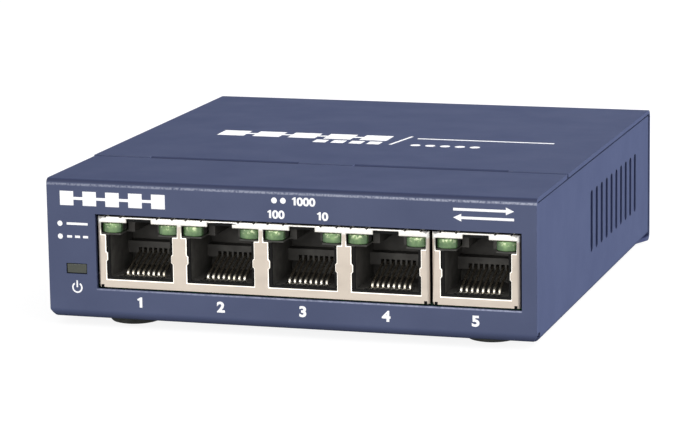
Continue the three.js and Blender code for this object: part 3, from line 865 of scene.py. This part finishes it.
def green_lens():
    """Green acrylic with a painted glow over the lamp and a few painted glints, painted shade
    at its ends, along its foot and on its sides behind the front; the glow also shines as emission."""
    look = new_look("green_lens")
    tree, shader = insides(look)
    spot = along_axes(tree, "Generated")
    lamp_glow_mask = between(tree, off_level(tree, spot["X"], 0.55), 0.5, 0.12)
    off_foot = between(tree, spot["Z"], 0.05, 0.6, 0.3, 1)
    patch = between(tree, noise(tree, 1.1, 4.0), 0.32, 0.66, 0.35, 1.1)
    pale = product(tree, lamp_glow_mask, off_foot, patch)
    glint = product(
        tree, between(tree, spot["Z"], 0.5, 0.85), lamp_glow_mask,
        between(tree, noise(tree, 0.5, 2.0), 0.52, 0.62))
    sideways = sums(tree, "ABSOLUTE", along_axes(tree, "Normal")["X"])
    # Painted shade on the lens's sides behind the front.
    side_shade = product(
        tree, between(tree, sideways, 0.78, 0.9), between(tree, spot["Y"], 0.18, 0.28))
    body = mixed(tree, pale, tone(62, 94, 58), tone(138, 170, 114))
    body = mixed(tree, glint, body, tone(225, 238, 190))
    # The painted glow and glints also shine as emission, so the lens glows of itself.
    glow = mixed(tree, pale, tone(40, 62, 38), tone(112, 142, 92))
    glow = mixed(tree, glint, glow, tone(215, 230, 180))
    wire_up(tree, mixed(tree, side_shade, body, tone(12, 15, 11)), shader, "Base Color")
    wire_up(tree, mixed(tree, side_shade, glow, tone(4, 5, 4)), shader, "Emission Color")
    wire_up(tree, between(tree, patch, 0.4, 1.1, 0.22, 0.12), shader, "Roughness")
    return all_over(look, Emission_Strength=0.27, Coat_Weight=1, Coat_Roughness=0.08)


def add_prism(shape, outline, bottom, top):
    """An upright prism of an (x, y) outline, in millimetres."""
    lower, upper = (
        [shape.verts.new(Vector((a, b, c)) * MM) for a, b in outline] for c in (bottom, top))
    join_outlines(shape, lower, upper)


acrylic = green_lens()
for port in range(1, 6):
    for side in ("left", "right"):
        node = f"light_lens_port_{port}_{side}"
        low, high = box_of(node)
        middle = (low.x + high.x) / 2
        half = (high.x - low.x) / 2
        outline = [(high.x, high.y), (low.x, high.y)]
        for step in range(LENS_STEPS + 1):
            part = 2 * step / LENS_STEPS - 1
            outline.append((middle + part * half, low.y + LENS_CROWN * part * part))
        shape = bmesh.new()
        add_prism(shape, outline, low.z, high.z)
        lens_piece = finished_piece(
            f"lens_{port}_{side}", shape, acrylic, edge=0.22, smooth=40, segments=4)
        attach(lens_piece, "switch_body")
        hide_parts(node)

# ----------------------------------------------
# Shields: 0.3 mm brass sheet, nickel plated, folded round each housing. The corners that
# run up the front are bent round, and the punched openings' cut edges carry a painted highlight.
TOUCHING = 0.001
BEND_RADIUS = 0.55
TAB_TIP = 6.1
TAB_FOOT = 4.95
TAB_HEAD = 6.65
TAB_TRIM = 0.15
END_MARGIN = 0.6
FOOT_MARGIN = 1.2
NICK_DEPTH = 0.4
RIM = 0.13
shield_front = box_of("jack_block_shield")[0].y
shield_crown = box_of("jack_block_shield")[1].z


def nickel_plate():
    """Warm nickel with a painted highlight along the top fold and painted shade on the sides away
    from the front.
    """
    look = new_look("nickel_plate")
    tree, shader = insides(look)
    place = along_axes(tree, "Object")
    # Painted highlight along the top fold.
    pale = between(tree, place["Z"], (shield_crown - 1.5) * MM, (shield_crown - 1.1) * MM)
    drift = mixed(tree, noise(tree, 6, 4.0), tone(227, 215, 201), tone(213, 200, 185))
    # Painted shade on the sides, in the narrow gaps away from the front.
    behind = between(tree, place["Y"], (shield_front + 0.3) * MM, (shield_front + 0.65) * MM)
    bright = mixed(tree, pale, drift, tone(255, 252, 246))
    wire_up(tree, mixed(tree, behind, bright, tone(34, 32, 29)), shader, "Base Color")
    streaks = noise(tree, 0.9, 4.0, (0.12, 1, 1))
    wire_up(tree, between(tree, streaks, 0.3, 0.7, 0.3, 0.44), shader, "Roughness")
    grain(tree, shader, 0.25, 0.003, (0.2, 1, 1))
    return all_over(look, Metallic=0.6)


def bright_rim():
    """A near-white painted highlight on the cut rims, which also glows round the plug openings."""
    look = coat(
        "rim_highlight_edge", tone(255, 253, 246), tone(244, 238, 226),
        patch=1, gloss=(0.3, 0.4), grain_size=0.1, grain_depth=0.002)
    tree, shader = insides(look)
    place = along_axes(tree, "Object")
    by_opening = product(
        tree,
        between(tree, place["Z"], (shield_base + 0.9) * MM, (shield_base + 1.1) * MM),
        between(tree, place["Z"], (shield_crown - 2.4) * MM, (shield_crown - 2.8) * MM))
    # Painted glow round the plug openings.
    glow = mixed(tree, by_opening, tone(0, 0, 0), tone(255, 250, 240))
    wire_up(tree, glow, shader, "Emission Color")
    return all_over(look, Emission_Strength=0.7, Metallic=0.4)


def bare_brass():
    """A near-black finish of painted shade for the sloping sides of the nicks in the top fold."""
    return coat(
        "bare_brass", tone(26, 24, 20), tone(14, 13, 11),
        patch=0.6, gloss=(0.6, 0.75), grain_size=0.1, grain_depth=0.003)


def bend_front_corners(shape, low, high):
    """Rounds the two long edges that run up the front."""
    def at_corner(vert):
        x, y = vert.co.x / MM, vert.co.y / MM
        return abs(y - low.y) < TOUCHING and min(abs(x - low.x), abs(x - high.x)) < TOUCHING

    corners = [
        edge for edge in shape.edges
        if all(at_corner(vert) for vert in edge.verts) and edge.calc_length() > 5 * MM]
    bmesh.ops.bevel(
        shape, geom=corners, offset=BEND_RADIUS * MM, segments=5, profile=0.5, affect="EDGES")


def trim_tabs(shape, low, middle):
    """Narrows the two grounding tabs that stand into one plug opening."""
    for vert in shape.verts:
        side = vert.co.x / MM - middle
        at_tip = abs(abs(side) - TAB_TIP) < 0.02
        beside_plug = TAB_FOOT < vert.co.z / MM - low.z < TAB_HEAD
        if at_tip and beside_plug and vert.co.y / MM < low.y + 0.5:
            vert.co.x += TAB_TRIM * MM * (1 if side > 0 else -1)


def choose_rims(shape, low, high):
    """Marks the edges that get the rim with the painted highlight: all but those at the shield's
    ends and foot.
    """
    shape.normal_update()
    weight = shape.edges.layers.float.new("bevel_weight_edge")
    for edge in shape.edges:
        places = [vert.co / MM for vert in edge.verts]
        off_ends = all(low.x + END_MARGIN < spot.x < high.x - END_MARGIN for spot in places)
        above_foot = all(spot.z > low.z + FOOT_MARGIN for spot in places)
        if off_ends and above_foot and edge.calc_face_angle(0) > radians(35):
            edge[weight] = 1


def tarnish_nicks(shape, material_number):
    """Gives the sloping sides of the nicks in the top fold the painted shade."""
    for face in shape.faces:
        leans = 0.2 < abs(face.normal.z) < 0.98 and abs(face.normal.y) < 0.1
        if leans and face.calc_center_median().z > (shield_crown - NICK_DEPTH) * MM:
            face.material_index = material_number


nickel = nickel_plate()
rim = bright_rim()
nick_shade_look = bare_brass()
for group, ports in PORTS_IN.items():
    node = f"jack_{group}_shield"
    low, high = box_of(node)
    shape = own_solid(node)
    bend_front_corners(shape, low, high)
    for port in ports:
        trim_tabs(shape, low, middle_of(f"contact_set_port_{port}").x)
    choose_rims(shape, low, high)
    tarnish_nicks(shape, 2)
    shield = finished_piece(f"plated_{group}_shield", shape, nickel, edge=RIM)
    shield.data.materials.append(rim)
    shield.data.materials.append(nick_shade_look)
    rims = shield.modifiers["broken_edges"]
    rims.material = 1
    rims.use_clamp_overlap = False
    rims.limit_method = "WEIGHT"
    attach(shield, "switch_body")
    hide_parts(node)

# ----------------------------------------------
# Power light: a smoky green light pipe behind the small window at the front left. It
# turns down to the light on the board.


def smoky_green():
    look = coat(
        "smoky_green", tone(72, 75, 63), tone(60, 64, 54),
        patch=1.5, gloss=(0.18, 0.3), grain_size=0.3, grain_depth=0.004)
    return all_over(look, Coat_Weight=0.6)


pipe = finished_piece(
    "light_pipe", own_solid("power_light_pipe"), smoky_green(), edge=0.12, segments=3)
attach(pipe, "switch_body")
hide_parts("power_light_pipe")

# ----------------------------------------------
# Power inlet: a black moulded body on the board whose round nose fills the hole in the
# rear wall, with a plated centre pin, split at its tip, and a spring leaf along its bore.
PIN_RADIUS = 1
PIN_SLIT_HALF = 0.12
PIN_SLIT_LENGTH = 3
LEAF_HALF = 1
BORE_RADIUS = 3.05

inlet = finished_piece(
    "moulded_inlet", own_solid("power_inlet_body"), black_nylon("plain_nylon"),
    edge=0.18, smooth=40, segments=3)
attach(inlet, "switch_body")
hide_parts("power_inlet_body")

low, high = box_of("power_inlet_pin")
centre = middle_of("power_inlet_pin")
shape = bmesh.new()
add_turned(shape, [
    (0, low.y), (PIN_RADIUS, low.y), (PIN_RADIUS, high.y - 0.6), (0.9, high.y - 0.25),
    (0.65, high.y - 0.06), (0.35, high.y), (0, high.y),
], 28, (centre.x, 0, centre.z), "Y")
pin = finished_piece("centre_pin", shape, tin)
slit = bmesh.new()
add_block(
    slit, about(centre.x, PIN_SLIT_HALF), (high.y - PIN_SLIT_LENGTH, high.y + 1),
    (low.z - 1, high.z + 1))
take_out(pin, slit)
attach(pin, "switch_body")
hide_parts("power_inlet_pin")

bore_top = centre.z + BORE_RADIUS
leaf = bmesh.new()
add_block(
    leaf, about(centre.x, LEAF_HALF), (high.y - 7, high.y - 1.5),
    (bore_top - 0.45, bore_top - 0.2), 0.08)
spring_leaf = finished_piece("inlet_spring_leaf", leaf, tin)
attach(spring_leaf, "switch_body")

# ----------------------------------------------
# Cover: the second steel blank, folded into the top, the rear wall and the flange under
# the floor. Two stepped tabs at its front edge slide in under the tray's strip.
cover = finished_piece("folded_cover", own_solid("top_cover"), paint, SHEET_EDGE)
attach(cover, "switch_body")
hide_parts("top_cover")

# ----------------------------------------------
# Cover screws: two low-head black-zinc screws that go up through the cover's flange into
# the tray floor.
LOW_HEAD_RADIUS = 2.7
LOW_HEAD_HEIGHT = 0.34
COVER_SHANK_RADIUS = 1.35


def black_zinc():
    look = coat(
        "black_zinc", tone(62, 64, 70), tone(44, 46, 51),
        patch=1, gloss=(0.3, 0.45), grain_size=0.15, grain_depth=0.004)
    return all_over(look, Metallic=0.85)


dark_zinc = black_zinc()
for side in ("left", "right"):
    low, high = box_of(f"cover_screw_{side}")
    centre = middle_of(f"cover_screw_{side}")
    under_head = low.z + LOW_HEAD_HEIGHT
    shape = bmesh.new()
    add_turned(shape, [
        (0, low.z), (2, low.z), (2.45, low.z + 0.05), (LOW_HEAD_RADIUS - 0.04, low.z + 0.15),
        (LOW_HEAD_RADIUS, low.z + 0.25), (LOW_HEAD_RADIUS - 0.05, under_head),
        (COVER_SHANK_RADIUS, under_head), (COVER_SHANK_RADIUS, high.z - 0.4), (1, high.z),
        (0, high.z),
    ], 32, (centre.x, centre.y, 0))
    screw = finished_piece(f"flange_screw_{side}", shape, dark_zinc)
    for arm in cross_recess((centre.x, centre.y, low.z), reach=1.5, width=0.26, depth=0.5, up=-1):
        take_out(screw, arm)
    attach(screw, "switch_body")
    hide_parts(f"cover_screw_{side}")

# ----------------------------------------------
# Feet: four round stick-on rubber feet, 10 mm across, moulded with a small skirt, and
# held by a thin disc of adhesive foam.
FOOT_RADIUS = 5
PAD_RADIUS = 4.7
PAD_TOP = 0.22


def soft_rubber():
    look = coat(
        "soft_rubber", tone(58, 60, 58), tone(44, 46, 44),
        patch=1.6, gloss=(0.75, 0.92), grain_size=0.2, grain_depth=0.02)
    return all_over(look, Specular_IOR_Level=0.3)


rubber = soft_rubber()
for corner in ("front_left", "front_right", "rear_left", "rear_right"):
    low, high = box_of(f"foot_{corner}")
    centre = middle_of(f"foot_{corner}")
    spot = (centre.x, centre.y, 0)
    shape = bmesh.new()
    add_turned(shape, [
        (0, 0.12), (2.6, 0.12), (3.2, 0), (4.2, 0), (4.6, 0.12), (4.85, 0.4), (4.97, 0.8),
        (FOOT_RADIUS, high.z - 0.35), (FOOT_RADIUS, high.z - 0.1), (FOOT_RADIUS - 0.1, high.z),
        (0, high.z),
    ], 56, spot)
    foot = finished_piece(f"rubber_foot_{corner}", shape, rubber)
    pad = bmesh.new()
    add_turned(pad, [
        (0, high.z + 0.01), (PAD_RADIUS, high.z + 0.01), (PAD_RADIUS + 0.05, high.z + 0.12),
        (PAD_RADIUS, high.z + PAD_TOP), (0, high.z + PAD_TOP),
    ], 56, spot)
    adhesive = finished_piece(f"adhesive_disc_{corner}", pad, rubber)
    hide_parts(f"foot_{corner}")
    for piece in (foot, adhesive):
        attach(piece, "switch_body")

# ----------------------------------------------
# Printed marks: white ink screened onto the paint. Plain signs say what each light means,
# and numbers name the jacks and the link speeds.
INK_THICKNESS = 0.012
DISC_SIDES = 32
ARC_STEPS = 28
FIGURE_HEIGHT = 0.729
FIGURE_STRETCH = 1.14
FIGURE_BOLDNESS = 0.055
DIGIT_FOOT = 4.2
DIGIT_TALL = 1.95
SPEED_TALL = 1.5
LEGEND_LEFT = -45.1
LEGEND_DOT = 0.5
POWER_SIGN_LEVEL = 7.4
ARROWS_MIDDLE = 37.1
ARROW_HALF = 5.6
ARROW_HEAD = 1.5


def white_ink():
    # The ink's faint emission is a painted glow.
    look = coat(
        "white_ink", tone(254, 254, 254), tone(246, 246, 248),
        patch=2, gloss=(0.45, 0.6), grain_size=0.2, grain_depth=0.003)
    return all_over(look, Emission_Color=tone(255, 255, 255), Emission_Strength=0.12)


ink = white_ink()


def ink_sheet(name):
    """An empty flat drawing, filled and as thick as a coat of ink."""
    drawing = bpy.data.curves.new(name, "CURVE")
    drawing.dimensions = "2D"
    drawing.fill_mode = "BOTH"
    drawing.extrude = INK_THICKNESS * MM
    drawing.resolution_u = 12
    drawing.materials.append(ink)
    return drawing


def add_outline(drawing, points):
    line = drawing.splines.new("POLY")
    line.points.add(len(points) - 1)
    for spot, (a, b) in zip(line.points, points):
        spot.co = (a * MM, b * MM, 0, 1)
    line.use_cyclic_u = True


def stroke(drawing, left, right, bottom, top, lean=0.0):
    add_outline(drawing, [(left, bottom), (right, bottom), (right + lean, top), (left + lean, top)])


def disc(drawing, a, b, radius):
    around = [tau * step / DISC_SIDES for step in range(DISC_SIDES)]
    add_outline(drawing, [(a + radius * cos(t), b + radius * sin(t)) for t in around])


def arc_band(drawing, a, b, outer, inner, start, sweep):
    around = [start + sweep * step / ARC_STEPS for step in range(ARC_STEPS + 1)]
    points = [(a + outer * cos(t), b + outer * sin(t)) for t in around]
    points += [(a + inner * cos(t), b + inner * sin(t)) for t in reversed(around)]
    add_outline(drawing, points)


def arrow(drawing, height, direction):
    """A long thin arrow. direction is 1 if it points to the right and -1 to the left."""
    tip = ARROWS_MIDDLE + direction * ARROW_HALF
    tail = ARROWS_MIDDLE - direction * ARROW_HALF
    neck = tip - direction * ARROW_HEAD
    add_outline(drawing, [
        (tail, height - 0.24), (neck, height - 0.24), (neck, height - 0.7), (tip, height),
        (neck, height + 0.7), (neck, height + 0.24), (tail, height + 0.24),
    ])


def chain_of_ports(drawing, left, right, bottom, top):
    """Five squares on a line: five devices on one network."""
    side = top - bottom
    step = (right - left - side) / 4
    middle = (bottom + top) / 2
    line = middle + side * 0.1
    upper = []
    for number in range(5):
        start = left + number * step
        upper += [(start, line), (start, top), (start + side, top), (start + side, line)]
    lower = [(a, 2 * middle - b) for a, b in reversed(upper)]
    add_outline(drawing, upper + lower)


def print_on(drawing, name, place, turn):
    marks = bpy.data.objects.new(name, drawing)
    marks.matrix_world = Matrix.Translation(Vector(place) * MM) @ Matrix.Rotation(turn, 4, "X")
    bpy.context.scene.collection.objects.link(marks)
    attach(marks, "switch_body")
    return marks


def one_mark(drawing, across, base, tall):
    """A figure one: a stem with a flag that slopes down to its left."""
    half = 0.135 * tall
    add_outline(drawing, [
        (across + half, base), (across + half, base + tall), (across - 0.02 * tall, base + tall),
        (across - 0.36 * tall, base + 0.8 * tall), (across - 0.28 * tall, base + 0.64 * tall),
        (across - half, base + 0.72 * tall), (across - half, base),
    ])


def number_mark(text, name, across, base, tall, align="CENTER"):
    """Figures set in the plain round face, made wide and bold."""
    words = bpy.data.curves.new(name, "FONT")
    words.body = text
    words.align_x = align
    words.size = tall / FIGURE_HEIGHT * MM
    words.extrude = INK_THICKNESS * MM
    words.offset = FIGURE_BOLDNESS * MM * tall
    words.materials.append(ink)
    marks = print_on(words, name, (across, tray_front, base), pi / 2)
    marks.matrix_world = marks.matrix_world @ Matrix.Scale(FIGURE_STRETCH, 4, (1, 0, 0))


front_ink = ink_sheet("front_ink")
chain_of_ports(front_ink, left=-44.2, right=-23.4, bottom=23, top=25.7)
for row, dashes, length in ((19.5, 1, 4.2), (17.05, 3, 1)):
    disc(front_ink, LEGEND_LEFT + 0.75, row, LEGEND_DOT)
    for dash in range(dashes):
        left = LEGEND_LEFT + 2.1 + dash * 1.6
        stroke(front_ink, left, left + length, row - 0.2, row + 0.25)
power_sign = middle_of("power_light_pipe").x
arc_band(front_ink, power_sign, POWER_SIGN_LEVEL, 1.05, 0.75, radians(125), radians(290))
stroke(
    front_ink, power_sign - 0.15, power_sign + 0.15,
    POWER_SIGN_LEVEL + 0.05, POWER_SIGN_LEVEL + 1.35)
arrow(front_ink, 25.45, 1)
arrow(front_ink, 23.95, -1)
for across in (-2.2, -0.5):
    disc(front_ink, across, 25.6, 0.55)

one_mark(front_ink, middle_of("contact_set_port_1").x + 0.15, DIGIT_FOOT, DIGIT_TALL)
for port in range(2, 6):
    across = middle_of(f"contact_set_port_{port}").x
    number_mark(str(port), f"port_digit_{port}", across, DIGIT_FOOT, DIGIT_TALL)
for zeros, across, base in (("000", 1.75, 24.85), ("00", -3, 22.3), ("0", 6.5, 22.3)):
    one_mark(front_ink, across, base, SPEED_TALL)
    number_mark(zeros, "speed_1" + zeros, across + 0.4, base, SPEED_TALL, "LEFT")
print_on(front_ink, "front_marks", (0, tray_front, 0), pi / 2)

top_ink = ink_sheet("top_ink")
chain_of_ports(top_ink, left=-31.4, right=4, bottom=1.2, top=6.8)
for dash in range(4):
    left = -10 + dash * 3.7
    stroke(top_ink, left, left + 2.6, -3, 0)
stroke(top_ink, left=5.6, right=6.2, bottom=-2.6, top=7.2, lean=1.8)
stroke(top_ink, left=9.4, right=37.1, bottom=4.6, top=5.4)
for number in range(5):
    disc(top_ink, 11 + number * 3, -2.4, 1)
print_on(top_ink, "top_marks", (0, 0, box_of("top_cover")[1].z), 0)
